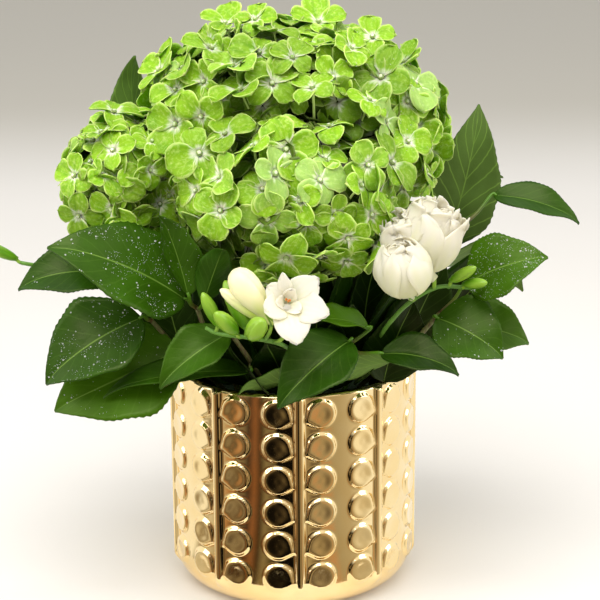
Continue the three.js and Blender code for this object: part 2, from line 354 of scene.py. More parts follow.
def centreline(name):
    """The middles of a stem's rings of corners, from its end in the foam to its far end."""
    bm = welded(name)
    left = [v.co.copy() for v in bm.verts]
    bm.free()
    centres = []
    while left:
        group, rest = [left.pop()], left
        grown = True
        while grown:
            near = [p for p in rest if any((p - q).length < 2.7 * MM for q in group)]
            rest = [p for p in rest if p not in near]
            group += near
            grown = bool(near)
        left = rest
        centres.append(mean(group))
    line = [min(centres, key=lambda p: p.z)]
    centres.remove(line[0])
    while centres:
        line.append(min(centres, key=lambda p: (p - line[-1]).length))
        centres.remove(line[-1])
    return line


def nearest_on(prefix):
    """A search tree of points along the frame's stems or twigs whose names start alike."""
    line = [p for n in NODES if n.startswith(prefix) for p in curve(centreline(n), 3)]
    near = KDTree(len(line))
    for i, p in enumerate(line):
        near.insert(p, i)
    near.balance()
    return near


def poles(name):
    """Foot, tip and greatest radius of a turned node, a bud or a flower."""
    bm = welded(name)
    ends = sorted(bm.verts, key=lambda v: -len(v.link_edges))[:2]
    foot, tip = sorted((v.co.copy() for v in ends), key=lambda p: (p - HEART).length)
    way = (tip - foot).normalized()
    radius = max(((v.co - foot) - way * (v.co - foot).dot(way)).length for v in bm.verts)
    bm.free()
    return foot, tip, radius


def leaf_outline(t):
    """Half-width of a lemon leaf as a share of its widest, from petiole to drip tip."""
    return math.sin(math.pi * min(max(t, 0), 1) ** 0.72) ** 0.85 if 0 < t < 1 else 0.0


def leaf_frame(name):
    """Foot, directions and measures of a leaf, from the seven rows of six corners of its CAD plate."""
    bm = welded(name)
    points = [v.co.copy() for v in bm.verts]
    bm.free()
    ends = [p for p in points if sum((p - q).length < 2.4 * MM for q in points) >= 6]
    one = [p for p in ends if (p - ends[0]).length < 3 * MM]
    two = [p for p in ends if p not in one]
    for foot, tip in ((mean(one), mean(two)), (mean(two), mean(one))):
        along = (tip - foot).normalized()
        length = (tip - foot).length
        rows = [[] for _ in range(7)]
        for p in points:
            rows[round((p - foot).dot(along) / length * 6)].append(p)
        widths = [max((a - b).length for a in row for b in row) for row in (rows[1], rows[5])]
        if widths[0] > widths[1]:  # a leaf is broader near its foot than near its tip
            break
    far = max(((a, b) for a in rows[2] for b in rows[2]), key=lambda pair: (pair[0] - pair[1]).length)
    row = sorted(rows[2], key=lambda p: (p - far[0]).dot(far[1] - far[0]))
    edge, middle, other = mean(row[:2]), mean(row[2:4]), mean(row[4:])
    face = (edge + other) / 2 - middle
    half = (edge - other).length / 2
    fold = face.length / half
    face = (face - along * face.dot(along)).normalized()
    centre = mean(sorted(rows[3], key=lambda p: (p - mean(rows[3])).dot(other - edge) ** 2)[:2])
    return {
        "foot": foot,
        "length": length,
        "along": along,
        "face": face,
        "across": along.cross(face),
        "half": half / leaf_outline(1 / 3),
        "fold": fold,
        "arch": (centre - foot).dot(face) / length,
    }


def on_leaf(leaf, u, t, lift=0.0):
    """A point of a leaf's upper side: u from edge to edge (-1 to 1), t from foot to tip."""
    half = max(leaf["half"] * leaf_outline(t), 0.55 * MM)
    half *= 1 + 0.03 * math.sin(19 * t + leaf["phase"]) + 0.014 * math.cos(40 * math.pi * t)  # wavy, toothed
    rise = leaf["arch"] * leaf["length"] * 4 * t * (1 - t)
    rise += leaf["fold"] * half * (0.45 * abs(u) + 0.55 * u * u)
    rise += leaf["wave"] * u * u * math.sin(11 * t + leaf["phase"] + (2 if u > 0 else 0)) * leaf_outline(t)
    rise -= 0.05 * leaf["length"] * max(t - 0.8, 0) ** 2 / 0.04
    rise -= 0.5 * MM * math.exp(-((u * half / (1.1 * MM)) ** 2))
    sway = leaf["sway"] * leaf["length"] * math.sin(math.pi * t)
    return (
        leaf["foot"]
        + leaf["along"] * (leaf["length"] * t)
        + leaf["across"] * (u * half + sway)
        + leaf["face"] * (rise + lift)
    )


LEAVES = {}


def read_leaves():
    """Fills LEAVES with every leaf's frame, with a little seeded waviness of its own."""
    rng = random.Random(7)
    for name in NODES:
        if name.startswith("lemon_leaf_") and "twig" not in name:
            LEAVES[name] = leaf_frame(name)
            LEAVES[name].update(
                phase=rng.uniform(0, 6.28), wave=rng.uniform(0.5, 1.3) * MM, sway=rng.uniform(-0.025, 0.025)
            )


# ---- materials -----------------------------------------------------------------------------------
def gold_lustre(settings):
    """Gold lustre fired on a smooth glaze: a mirror whose surface wanders slightly where the glaze pooled."""
    material, tree = new_material("gold_lustre_glaze")
    place = node(tree, "TexCoord").outputs["Object"]
    pooled = node(tree, "TexNoise", {"Vector": place, "Scale": 60, "Detail": 2})
    speck = node(tree, "TexNoise", {"Vector": place, "Scale": 900, "Detail": 1})
    deeper = tuple(c * k for c, k in zip(settings.gold, (0.97, 0.92, 0.82))) + (1,)
    tint = node(tree, "ValToRGB", {"Fac": pooled}, [(0.35, deeper), (0.65, solid(settings.gold))])
    worn = {"To Min": settings.roughness, "To Max": settings.roughness * 2.2}
    dull = node(tree, "MapRange", {"Value": speck, "From Min": 0.4, "From Max": 0.8, **worn})
    waves = node(tree, "Bump", {"Height": pooled, "Strength": 0.35, "Distance": 0.4 * MM})
    return covered(material, {"Base Color": tint, "Metallic": 1.0, "Roughness": dull, "Normal": waves})


def wet_foam():
    """Wet phenolic floral foam: dark green open cells about a millimetre across."""
    material, tree = new_material("wet_floral_foam")
    place = node(tree, "TexCoord").outputs["Object"]
    cells = node(tree, "TexVoronoi", {"Vector": place, "Scale": 900})
    patch = node(tree, "TexNoise", {"Vector": place, "Scale": 90, "Detail": 4})
    tint = node(tree, "ValToRGB", {"Fac": patch}, [(0.3, linear("#1C2E1A")), (0.7, linear("#35502E"))])
    pits = node(tree, "Bump", {"Height": cells, "Strength": 0.8, "Distance": 0.5 * MM})
    return covered(material, {"Base Color": tint, "Roughness": 0.85, "Normal": pits})


def sepal_skin(settings):
    """Hydrangea sepal: matt, scattering some light inside, with fanning veins and a pale margin and heart."""
    material, tree = new_material("hydrangea_sepal")
    place, split, tone = surface_places(tree)
    u, v = split.outputs["X"], split.outputs["Y"]
    side = from_middle(tree, u)
    # fine veins fan from the claw to the margin, broken, and a little different on every floret
    patch = node(tree, "TexNoise", {"Vector": place, "Scale": 160, "Detail": 3})
    own = node(tree, "Math", [tone, 90.0], operation="MULTIPLY")
    fan = node(tree, "Math", [u, 6.0], operation="MULTIPLY")
    run = node(tree, "Math", [v, 2.2], operation="MULTIPLY")
    spot = node(tree, "CombineXYZ", {"X": fan, "Y": run, "Z": own})
    streak = node(tree, "TexNoise", {"Vector": spot, "Scale": 1.0, "Detail": 4})
    bent = node(tree, "Math", [streak, 2.4, fan], operation="MULTIPLY_ADD")
    line = node(tree, "Math", [bent, 0.5], operation="PINGPONG")
    line = node(tree, "MapRange", {"Value": line, "From Min": 0.41, "From Max": 0.5}, **SOFT)
    gate = node(tree, "MapRange", {"Value": patch, "From Min": 0.35, "From Max": 0.65})
    vein = node(tree, "Math", [line, gate], operation="MULTIPLY")
    margin = solid(settings.margin)
    greens = [(0.3, solid(settings.deep)), (0.56, solid(settings.green))]
    blade = node(tree, "ValToRGB", {"Fac": streak}, greens)
    faint = node(tree, "Math", [vein, 0.4], operation="MULTIPLY")
    fleck = node(tree, "TexNoise", {"Vector": place, "Scale": 620, "Detail": 2})
    fleck = node(tree, "MapRange", {"Value": fleck, "From Min": 0.5, "From Max": 0.75, "To Max": 0.4})
    edge_u = node(tree, "MapRange", {"Value": side, "From Min": 0.4, "From Max": 0.51}, **SOFT)
    edge_v = node(tree, "MapRange", {"Value": v, "From Min": 0.86, "From Max": 1.02}, **SOFT)
    edge = node(tree, "Math", [edge_u, edge_v], operation="MAXIMUM")
    edge = node(tree, "Math", [edge, 0.8], operation="MULTIPLY")
    star = node(tree, "Math", [streak, -0.35, 0.175], operation="MULTIPLY_ADD")
    star = node(tree, "Math", [star, v], operation="ADD")
    near = {"Value": star, "From Min": 0.03, "From Max": 0.2, "To Min": 0.9, "To Max": 0.0}
    near = node(tree, "MapRange", near, **SOFT)
    button = node(tree, "Math", [v, 0.0], operation="LESS_THAN")
    # one over the other: veins, paler flecks between them, the pale margin, the heart and the button in it
    covers = [(share, margin) for share in (faint, fleck, edge)]
    covers += [(near, solid(settings.heart)), (button, linear("#93A765"))]
    for share, colour in covers:
        blade = node(tree, "Mix", {"Factor": share, 6: blade, 7: colour}, data_type="RGBA")
    # tone: 0 deep in the head, where the ramp darkens it as painted shade, 0.5 a full-grown sepal, 1 an old
    # pale one
    shades = [(0.0, grey(0.12)), (0.3, grey(0.55)), (0.5, grey(1.0)), (1.0, grey(1.0))]
    shade = node(tree, "ValToRGB", {"Fac": tone}, shades)
    blade = node(tree, "Mix", {"Factor": 1.0, 6: blade, 7: shade}, **SHADING)
    old = node(tree, "MapRange", {"Value": tone, "From Min": 0.6, "From Max": 1.0, "To Max": 0.5})
    blade = node(tree, "Mix", {"Factor": old, 6: blade, 7: linear("#B9CE96")}, data_type="RGBA")
    height = node(tree, "Math", [vein, patch], operation="ADD")
    ridges = node(tree, "Bump", {"Height": height, "Strength": 0.5, "Distance": 0.25 * MM})
    matt = {"Roughness": 0.55, "Specular IOR Level": 0.2}
    flesh = {"Subsurface Weight": 0.25, "Subsurface Radius": (0.5, 1.0, 0.15), "Subsurface Scale": 1.2 * MM}
    return covered(material, {"Base Color": blade, "Normal": ridges, **matt, **flesh})


def leaf_skin(name, blade, brighter_green, vein, roughness, side_veins):
    """Leathery leaf: a waxy blade whose midrib and side veins are sunk in the upper side."""
    material, tree = new_material(name)
    place, split, tone = surface_places(tree)
    u, v = split.outputs["X"], split.outputs["Y"]
    patch = node(tree, "TexNoise", {"Vector": place, "Scale": 55, "Detail": 5})
    grain = node(tree, "TexVoronoi", {"Vector": place, "Scale": 750})
    side = from_middle(tree, u)
    midrib = {"Value": side, "From Min": 0.003, "From Max": 0.014, "To Min": 1.0, "To Max": 0.0}
    midrib = node(tree, "MapRange", midrib, **SOFT)
    # side veins sweep forward from the midrib and curve along the margin
    sweep = node(tree, "Math", [side, 0.75], operation="POWER")
    sweep = node(tree, "Math", [sweep, -0.52, v], operation="MULTIPLY_ADD")
    sweep = node(tree, "Math", [patch, 0.03, sweep], operation="MULTIPLY_ADD")
    sweep = node(tree, "Math", [sweep, 50.0], operation="MULTIPLY")
    sweep = node(tree, "Math", [sweep], operation="COSINE")
    pinnate = node(tree, "MapRange", {"Value": sweep, "From Min": 0.9, "From Max": 1.0}, **SOFT)
    pinnate = node(tree, "Math", [pinnate, side_veins], operation="MULTIPLY")
    lines = node(tree, "Math", [midrib, pinnate], operation="MAXIMUM")
    tint = node(tree, "Mix", {"Factor": tone, 6: solid(blade), 7: solid(brighter_green)}, data_type="RGBA")
    mottle = node(tree, "ValToRGB", {"Fac": patch}, [(0.3, grey(0.62)), (0.7, grey(1.0))])
    # below 0 the tone darkens a leaf that stands in the shade
    shade = node(tree, "MapRange", {"Value": tone, "From Min": -1.0, "From Max": 0.0, "To Min": 0.2})
    for darker in (mottle, shade):
        tint = node(tree, "Mix", {"Factor": 1.0, 6: tint, 7: darker}, **SHADING)
    faint = node(tree, "Math", [lines, 0.7], operation="MULTIPLY")
    tint = node(tree, "Mix", {"Factor": faint, 6: tint, 7: solid(vein)}, data_type="RGBA")
    sunk = node(tree, "Math", [sweep, -0.2, grain], operation="MULTIPLY_ADD")
    relief = node(tree, "Bump", {"Height": sunk, "Strength": 0.2, "Distance": 0.2 * MM})
    gloss = node(tree, "MapRange", {"Value": patch, "To Min": roughness, "To Max": roughness + 0.25})
    wax = {"Specular IOR Level": 0.25, "Specular Tint": linear("#EEF2B4")}
    return covered(material, {"Base Color": tint, "Roughness": gloss, "Normal": relief, **wax})


def streaked(name, low, high, roughness, streaks, soft=0.0, depth=0.05, thin=0.0):
    """Smooth plant skin, such as a bud, stem or petal, whose colour runs from foot to tip with fine streaks.

    A thin skin, such as a petal, lets some of the light through."""
    material, tree = new_material(name)
    place, split, tone = surface_places(tree)
    patch = node(tree, "TexNoise", {"Vector": place, "Scale": 300, "Detail": 3})
    around = node(tree, "Math", [split.outputs["X"], streaks], operation="MULTIPLY")
    around = node(tree, "Math", [patch, 1.5, around], operation="MULTIPLY_ADD")
    stripe = node(tree, "Math", [around], operation="SINE")
    climb = node(tree, "Math", [stripe, depth, split.outputs["Y"]], operation="MULTIPLY_ADD")
    climb = node(tree, "Math", [climb, tone], operation="ADD")
    tint = node(tree, "ValToRGB", {"Fac": climb}, [(0.05, solid(low)), (0.6, solid(high))])
    ridges = node(tree, "Bump", {"Height": stripe, "Strength": 0.25 * (1 - thin), "Distance": 0.15 * MM})
    flesh = {"Subsurface Weight": soft, "Subsurface Radius": (1.0, 0.9, 0.6), "Subsurface Scale": 2 * MM}
    skin = {"Base Color": tint, "Roughness": roughness, "Normal": ridges, "Specular IOR Level": 0.4, **flesh}
    return covered(material, skin, thin)


def bark(settings):
    """Young twig bark: brown with green showing through, and fine cracks drawn out upwards."""
    material, tree = new_material("twig_bark")
    place = node(tree, "TexCoord").outputs["Object"]
    long = node(tree, "Mapping", {"Vector": place, "Scale": (1, 1, 0.25)})
    crack = node(tree, "TexNoise", {"Vector": long, "Scale": 700, "Detail": 4})
    tint = node(tree, "ValToRGB", {"Fac": crack}, [(0.35, solid(settings.bark)), (0.7, linear("#6F7A3C"))])
    rough = node(tree, "Bump", {"Height": crack, "Strength": 0.5, "Distance": 0.2 * MM})
    return covered(material, {"Base Color": tint, "Roughness": 0.65, "Normal": rough})


def water():
    """Water: beads of mist that bend and mirror the light. Their partly white body is painted highlight that
    shows them as pale specks.
    """
    material, tree = new_material("water_beads")
    place = node(tree, "TexCoord").outputs["Object"]
    film = node(tree, "TexNoise", {"Vector": place, "Scale": 400})
    ripple = node(tree, "Bump", {"Height": film, "Strength": 0.1, "Distance": 0.1 * MM})
    # a white base under partial transmission paints the beads pale, as painted highlight
    clear = {"Roughness": 0.03, "IOR": 1.333, "Transmission Weight": 0.6}
    return covered(material, {"Base Color": grey(1), "Normal": ripple, **clear})


# ---- vase ----------------------------------------------------------------------------------------
OUTER = 60 * MM  # radius of the wall
WALL = 4.5 * MM
PANELS = 9
ROWS = 6
ROW_PITCH = 16.6 * MM
FIRST_ROW = 19.8 * MM
MEDALLION = 7.7 * MM  # radius of its round part
RIB_PHASE = 2.9  # degrees from the front to the nearest rib
RIB_HALF = 2.6 * MM
RIB_END, RIB_FULL = 112 * MM, 110.2 * MM  # a rib fades out between these heights, under the rim
RELIEF_START, RELIEF_FULL = 8 * MM, 14 * MM  # the relief fades in between these heights, over the foot


def teardrop(x, y):
    """Signed distance to a medallion's outline: a round drop drawn out to a point low on its rib side."""
    point = Vector((9.0 * MM, -3.9 * MM))
    reach = point.length
    way = point / reach
    along, aside = x * way.x + y * way.y, abs(x * way.y - y * way.x)
    lean = MEDALLION / reach
    flank = math.sqrt(1 - lean * lean)
    k = along * flank - aside * lean
    if k < 0:
        return math.hypot(x, y) - MEDALLION
    if k > flank * reach:
        return math.hypot(along - reach, aside)
    return aside * flank + along * lean - MEDALLION


def relief(angle, height, settings):
    """How far the wall stands out at an angle from the front, in degrees, and a height."""
    panel = 360 / PANELS
    off = (angle - RIB_PHASE + panel / 2) % panel - panel / 2
    across = math.radians(abs(off)) * OUTER
    rib = settings.rib * math.sqrt(max(1 - (across / RIB_HALF) ** 2, 0))
    row = min(max(round((height - FIRST_ROW) / ROW_PITCH), 0), ROWS - 1)
    x = (panel / 4 - abs(off)) / panel * (2 * math.pi / PANELS) * OUTER
    d = teardrop(x, height - FIRST_ROW - row * ROW_PITCH)
    bead = settings.relief * (smooth(0, 1.7 * MM, -d) - 0.3 * smooth(1.7 * MM, 6.5 * MM, -d))
    fade = smooth(RELIEF_START, RELIEF_FULL, height)
    return max(rib * fade * smooth(-RIB_END, -RIB_FULL, -height), bead * fade)


class CENTERPIECE_OT_vase(bpy.types.Operator):
    """Turns the vase, embosses its ribs and medallions and glazes it with gold lustre"""

    bl_idname = "centerpiece.vase"
    bl_label = "Vase"

    def execute(self, context):
        settings = look("vase")
        bm = new_mesh()
        turn_outline(bm, self.outline(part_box("vase")[1].z), settings.steps)
        for v in bm.verts:
            r = math.hypot(v.co.x, v.co.y)
            if v.co.z > 3 * MM and r > OUTER - WALL / 2:
                out = relief(math.degrees(math.atan2(v.co.x, -v.co.y)), v.co.z, settings) * (r / OUTER) ** 2
                v.co.x *= (r + out) / r
                v.co.y *= (r + out) / r
        bmesh.ops.recalc_face_normals(bm, faces=bm.faces)
        finished(bm, "glazed_vase", [gold_lustre(settings)], "gold_glaze", ["vase"])
        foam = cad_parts["floral_foam"]
        foam.data.materials.clear()
        foam.data.materials.append(wet_foam())
        return {"FINISHED"}

    def outline(self, top):
        """The wall's outline from the middle of the hollow base, up outside, over the lip and down inside."""
        lip, foot, floor, corner = 1.4 * MM, 15 * MM, 7 * MM, 3 * MM
        bore = OUTER - WALL
        outline = [(0, 1.4 * MM), (37 * MM, 1.4 * MM), (38.6 * MM, 0.9 * MM), (40 * MM, 0), (44 * MM, 0)]
        for a in (math.radians(90) * k / 22 for k in range(1, 22)):
            outline.append((OUTER - foot + foot * math.sin(a), foot - foot * math.cos(a)))
        straight = top - lip - foot
        count = round(straight / (0.82 * MM))
        outline += [(OUTER, foot + straight * k / count) for k in range(count + 1)]
        for a in (math.pi * k / 12 for k in range(1, 12)):
            outline.append((OUTER - WALL / 2 + WALL / 2 * math.cos(a), top - lip + lip * math.sin(a)))
        outline += [(bore, top - lip - (top - lip - floor - corner) * k / 8) for k in range(9)]
        for a in (0.5, 1.0):
            outline.append((bore - corner + corner * math.cos(a), floor + corner - corner * math.sin(a)))
        return outline + [(bore - corner, floor), (0, floor)]


# ---- stems ---------------------------------------------------------------------------------------
class CENTERPIECE_OT_stems(bpy.types.Operator):
    """Draws the flower stems and the leafy twigs along the frame's own"""

    bl_idname = "centerpiece.stems"
    bl_label = "Stems and twigs"

    def execute(self, context):
        rng = random.Random(11)
        groups = (
            ("hydrangea_stem_", "hydrangea_stems", 3.2, 12, "green_stem"),
            ("freesia_stem_", "freesia_stems", 1.3, 8, "green_stem"),
            ("lemon_leaf_twig_", "lemon_leaf_twigs", 1.5, 8, "brown_twig"),
        )
        green = streaked("green_stem", look("freesia").stem, look("freesia").stem, 0.45, 30)
        for prefix, name, radius, sides, slot in groups:
            names = [n for n in NODES if n.startswith(prefix)]
            bm = new_mesh()
            for n in names:
                line = centreline(n)
                path = curve(line[::2] + (line[-1:] if len(line) % 2 == 0 else []), 4)
                radii = []
                for i in range(len(path)):
                    knot = rng.uniform(0.95, 1.0) + 0.12 * max(0, math.cos(0.9 * i)) ** 8
                    radii.append(radius * MM * knot * (1 - 0.25 * i / len(path)))
                add_tube(bm, path, radii, sides)
            finished(bm, name, [bark(look("foliage")) if slot == "brown_twig" else green], slot, names)
        return {"FINISHED"}


# ---- hydrangeas ----------------------------------------------------------------------------------
def add_sepal(bm, length, width, turn, rng, columns, rows, lift=0.0, cup=0.3, droop=0.3):
    """A broad sepal on the origin, lying along a direction in the XY plane, on a narrow claw."""
    made = new_grid(bm, columns, rows)
    ends, taper = rng.uniform(2.6, 4.0), rng.uniform(0.5, 0.68)
    phase, teeth = rng.uniform(0, 6.28), rng.uniform(0.01, 0.045)
    twist = rng.uniform(-0.25, 0.25)
    rock = Matrix.Rotation(turn, 3, "Z")
    for v in made:
        u = v.co.x
        t = 1 - (1 - (v.co.y + 1) / 2) ** 1.5
        half = width / 2 * t**0.52 * max(1 - t**ends, 0) ** taper / 0.7
        half *= 1 + teeth * math.sin(17 * t + phase)
        claw = u * 0.06 * (1 - t)  # keeps the claw from pinching to a point
        x = u * half + claw * length * 0.2
        y = 0.4 * MM + length * t * (1 - 0.04 * u * u)
        z = lift + length * (0.34 * t - droop * t * t) + cup * abs(u) ** 1.7 * half * (1 - 0.4 * t)
        z += 0.05 * length * math.sin(4.5 * u + 3 * t + phase) * t * t + twist * x * t
        v.co = rock @ Vector((x, y, z))
    bmesh.ops.remove_doubles(bm, verts=made, dist=0.02 * MM)


def floret(rng, length, columns, rows, button):
    """A floret of four or sometimes five sepals, every other one raised, with a button if it is asked for."""
    bm = new_mesh()
    cup, droop = rng.uniform(0.05, 0.55), rng.uniform(0.05, 0.6)
    count = 4 if rng.random() < 0.85 else 5
    for i in range(count):
        turn = 2 * math.pi * i / count + rng.uniform(-0.22, 0.22)
        size = rng.uniform(0.78, 1.1)
        add_sepal(
            bm, length * size, length * size * rng.uniform(0.86, 1.08), turn, rng, columns, rows,
            (0.5 * MM if i % 2 else 0.0), cup + rng.uniform(-0.12, 0.14), droop + rng.uniform(-0.22, 0.2),
        )
    if button:
        seat = Matrix.Translation((0, 0, 1.3 * MM)) @ Matrix.Diagonal((1, 1, 0.75, 1))
        made = bmesh.ops.create_icosphere(bm, subdivisions=2, radius=1.5 * MM, matrix=seat)["verts"]
        uv = bm.loops.layers.uv["UVMap"]
        for f in {f for v in made for f in v.link_faces}:
            for loop in f.loops:
                loop[uv].uv = (0.5, -0.5 if loop.vert.co.z < 2.15 * MM else 0.1)
    return template(bm)


def head_places(name, spacing, depth, rng, trees, clear):
    """Points spread evenly at a depth under a head's surface, with their normals.

    The underside is left out, and so are places nearer to another head than clear."""
    low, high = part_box(name)
    centre, size = (low + high) / 2, (high - low) / 2
    sides = (size.x * size.y, size.y * size.z, size.x * size.z)
    area = 4 * math.pi * (sum(side**1.6 for side in sides) / 3) ** 0.625  # Thomsen's rule for an ellipsoid
    count = round(area / (0.866 * spacing * spacing))  # as close as they pack in a plane
    golden = math.pi * (3 - math.sqrt(5))
    start = rng.uniform(0, 6.28)
    for i in range(count):
        z = 1 - 2 * (i + 0.5) / count
        flat = math.sqrt(1 - z * z)
        a = start + golden * i
        way = Vector((flat * math.cos(a) * size.x, flat * math.sin(a) * size.y, z * size.z))
        hit, normal, _, _ = trees[name].ray_cast(centre + way * 3, -way.normalized())
        if hit is None:
            continue
        outward = Vector((way.x / size.x**2, way.y / size.y**2, way.z / size.z**2)).normalized()
        normal = (normal + 2 * outward).normalized()
        if normal.z < -0.86:
            continue
        if any(tree.find_nearest(hit)[3] < clear for other, tree in trees.items() if other != name):
            continue
        yield hit - normal * depth, normal


BETWEEN_HEADS = (  # florets, in millimetres, that close the wedge between the front and the left head
    (-60, -22, 207), (-62, -24, 197), (-57, -24, 201), (-56, -20, 190), (-64, -18, 188),
)
LEAF_GAP = 7 * MM  # how near a floret may come to a leaf
LEAF_GAPS = {"lemon_leaf_left_7": 13 * MM}  # this one stands in front of the heads


class CENTERPIECE_OT_hydrangeas(bpy.types.Operator):
    """Fills each hydrangea head with florets, an open outer layer over a deeper one"""

    bl_idname = "centerpiece.hydrangeas"
    bl_label = "Hydrangeas"

    def execute(self, context):
        settings = look("hydrangea")
        names = [n for n in NODES if n.startswith("hydrangea_head_")]
        if not names:
            raise RuntimeError("the frame has no hydrangea heads")
        trees = {n: surface_of(n) for n in names}
        leaves = [n for n in NODES if n.startswith("lemon_leaf_") and "_twig_" not in n]
        blades = [(surface_of(n), LEAF_GAPS.get(n, LEAF_GAP)) for n in leaves]
        rng = random.Random(3)
        outer = [floret(rng, settings.sepal_length, 6, 7, True) for _ in range(14)]
        inner = [floret(rng, settings.sepal_length * 0.9, 4, 4, False) for _ in range(4)]
        skin = sepal_skin(settings)
        stalk = streaked("hydrangea_pedicel", look("freesia").stem, settings.margin, 0.5, 6)
        shaded_cores, stalks = new_mesh(), new_mesh()
        for n in names:
            bm = new_mesh()
            small = 0.86 if n.endswith("left") else 1.0
            shaded = (0.2, 0.42) if n.endswith("top") else (0.1, 0.3)
            spacing = settings.spacing * small
            low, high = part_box(n)
            middle = (low + high) / 2
            root = centreline(n.replace("_head_", "_stem_"))[-1]
            for point, normal in head_places(n, spacing, 2 * MM, rng, trees, 2 * MM):
                point = point - normal * rng.uniform(0, 7) * MM + jitter(rng.gauss, 0, 2) * MM
                way = (normal + jitter(rng.gauss, 0, 0.33)).normalized()
                tone = 0.85 if rng.random() < 0.05 else min(max(rng.gauss(0.5, 0.1), 0.36), 0.7)
                size, shape, spin = small * rng.uniform(0.82, 1.08), rng.choice(outer), rng.uniform(0, 6.28)
                if any(tree.find_nearest(point + way * 3 * MM)[3] < gap for tree, gap in blades):
                    continue  # a floret gives way to a leaf
                add_mesh(bm, shape, placing(point, way, spin, size), tone)
                fork = root.lerp(middle, 0.3) + (point - middle) * 0.35
                elbow = fork.lerp(point, 0.55) - way * MM
                add_tube(stalks, [fork, elbow, point], [0.9 * MM, 0.7 * MM, 0.6 * MM], 4)
            # the deeper layer takes low tones, which darken it with painted shade
            for point, normal in head_places(n, spacing * 0.9, 14 * MM, rng, trees, 0):
                way = (normal + jitter(rng.gauss, 0, 0.3)).normalized()
                shape, spin = rng.choice(inner), rng.uniform(0, 6.28)
                add_mesh(bm, shape, placing(point, way, spin, small), rng.uniform(*shaded))
            if n.endswith("left"):
                self.close_wedge(bm, outer, small)
            finished(bm, n.replace("_head_", "_florets_"), [skin], "hydrangea_sepal", [n], 0.3 * MM)
            self.add_shaded_core(shaded_cores, n, middle)
        finished(shaded_cores, "hydrangea_shaded_cores", [skin], "hydrangea_sepal", [])
        finished(stalks, "hydrangea_pedicels", [stalk], "green_stem", [])
        return {"FINISHED"}

    def close_wedge(self, bm, shapes, scale):
        """Hangs florets in the wedge between the front and the left head."""
        rng = random.Random(41)
        for place in BETWEEN_HEADS:
            way = Vector((rng.uniform(-0.5, 0.2), -1, rng.uniform(-0.2, 0.5))).normalized()
            seat = placing(Vector(place) * MM, way, rng.uniform(0, 6.28), scale)
            add_mesh(bm, rng.choice(shapes), seat, rng.uniform(0.34, 0.5))

    def add_shaded_core(self, bm, name, middle):
        """A dark mass inside a head, darkened with painted shade: the head's own surface, shrunk and
        roughened.
        """
        core = welded(name)
        uv = core.loops.layers.uv.new("UVMap")
        core.verts.layers.float.new("tone")
        bmesh.ops.subdivide_edges(core, edges=core.edges[:], cuts=1)
        for v in core.verts:
            v.co = middle + (v.co - middle) * (0.72 + 0.12 * noise.noise(v.co / (8 * MM)))
        for f in core.faces:
            for loop in f.loops:
                loop[uv].uv = (0.5, 0.6)
        # a tone of 0.03 paints the mass in deep shade
        add_mesh(bm, template(core), Matrix(), 0.03)


# ---- foliage -------------------------------------------------------------------------------------
# leaves mixed towards the brighter green
BRIGHTER_LEAVES = ("left_4", "front_7", "right_5", "right_2")
SHADED_LEAVES = ("right_3", "front_6")
LONGEST_PETIOLE = 45 * MM


class CENTERPIECE_OT_foliage(bpy.types.Operator):
    """Shapes every lemon leaf on its plate in the frame, with its petiole to the nearest twig"""

    bl_idname = "centerpiece.foliage"
    bl_label = "Lemon leaves"

    def execute(self, context):
        settings = look("foliage")
        read_leaves()
        upper = leaf_skin("lemon_leaf_upper", settings.upper, settings.brighter_green, settings.vein, 0.27, 0.1)
        under = leaf_skin("lemon_leaf_underside", settings.under, settings.under, settings.vein, 0.5, 0.9)
        near = nearest_on("lemon_leaf_twig_")
        rng = random.Random(5)
        groups = {}
        for name in LEAVES:
            groups.setdefault(name.split("_")[2], []).append(name)
        for group, names in groups.items():
            blades, stalks = new_mesh(), new_mesh()
            for name in names:
                leaf = LEAVES[name]
                made = new_grid(blades, 14, 40)
                for v in made:
                    v.co = on_leaf(leaf, v.co.x, (v.co.y + 1) / 2)
                out = Vector((leaf["foot"].x, leaf["foot"].y, 0))
                # an upright leaf shows its upper side
                if leaf["along"].z > 0.6 and leaf["face"].dot(out) < 0:
                    bmesh.ops.reverse_faces(blades, faces=list({f for v in made for f in v.link_faces}))
                tone = rng.uniform(0.5, 0.9) if name.endswith(BRIGHTER_LEAVES) else rng.uniform(0.0, 0.3)
                set_tone(blades, made, -0.35 if name.endswith(SHADED_LEAVES) else tone)
                foot = leaf["foot"]
                twig = near.find(foot)[0]
                if (twig - foot).length < LONGEST_PETIOLE:
                    base = foot + leaf["along"] * 1.5 * MM
                    middle = (twig + foot) / 2 - leaf["face"] * 0.08 * (twig - foot).length
                    path = curve([twig, middle, foot - leaf["along"] * MM, base], 4)
                    add_tube(stalks, path, [(1.0 - 0.25 * i / len(path)) * MM for i in range(len(path))])
            finished(blades, f"lemon_leaves_{group}", [upper, under], "glossy_leaf", names, 0.5 * MM, 1)
            stalk = streaked(f"petiole_{group}", linear("#5A3A22")[:3], settings.brighter_green, 0.45, 12)
            finished(stalks, f"petioles_{group}", [stalk], "glossy_leaf", [])
        return {"FINISHED"}


INNER_RINGS = (  # leaves, radii of their feet and tips in mm, and their height as a share of the gap
    (12, 22, 36, 1.45), (15, 36, 56, 1.1), (15, 40, 66, 0.6),
)
SIDE_LEAVES = (  # foot, tip and half-width in millimetres of the shaded leaves at both sides
    ((50, -22, 112), (74, -26, 168), 17), ((58, -14, 114), (96, -20, 160), 17),
    ((44, -40, 112), (58, -44, 152), 16), ((-52, -30, 120), (-62, -34, 168), 15),
    ((70, 0, 128), (100, -4, 172), 15), ((-60, -4, 150), (-68, -6, 232), 19),
    ((-50, 2, 132), (-56, 0, 200), 16), ((36, -4, 116), (46, -2, 172), 17),
    ((60, -2, 118), (72, -6, 162), 16),
)


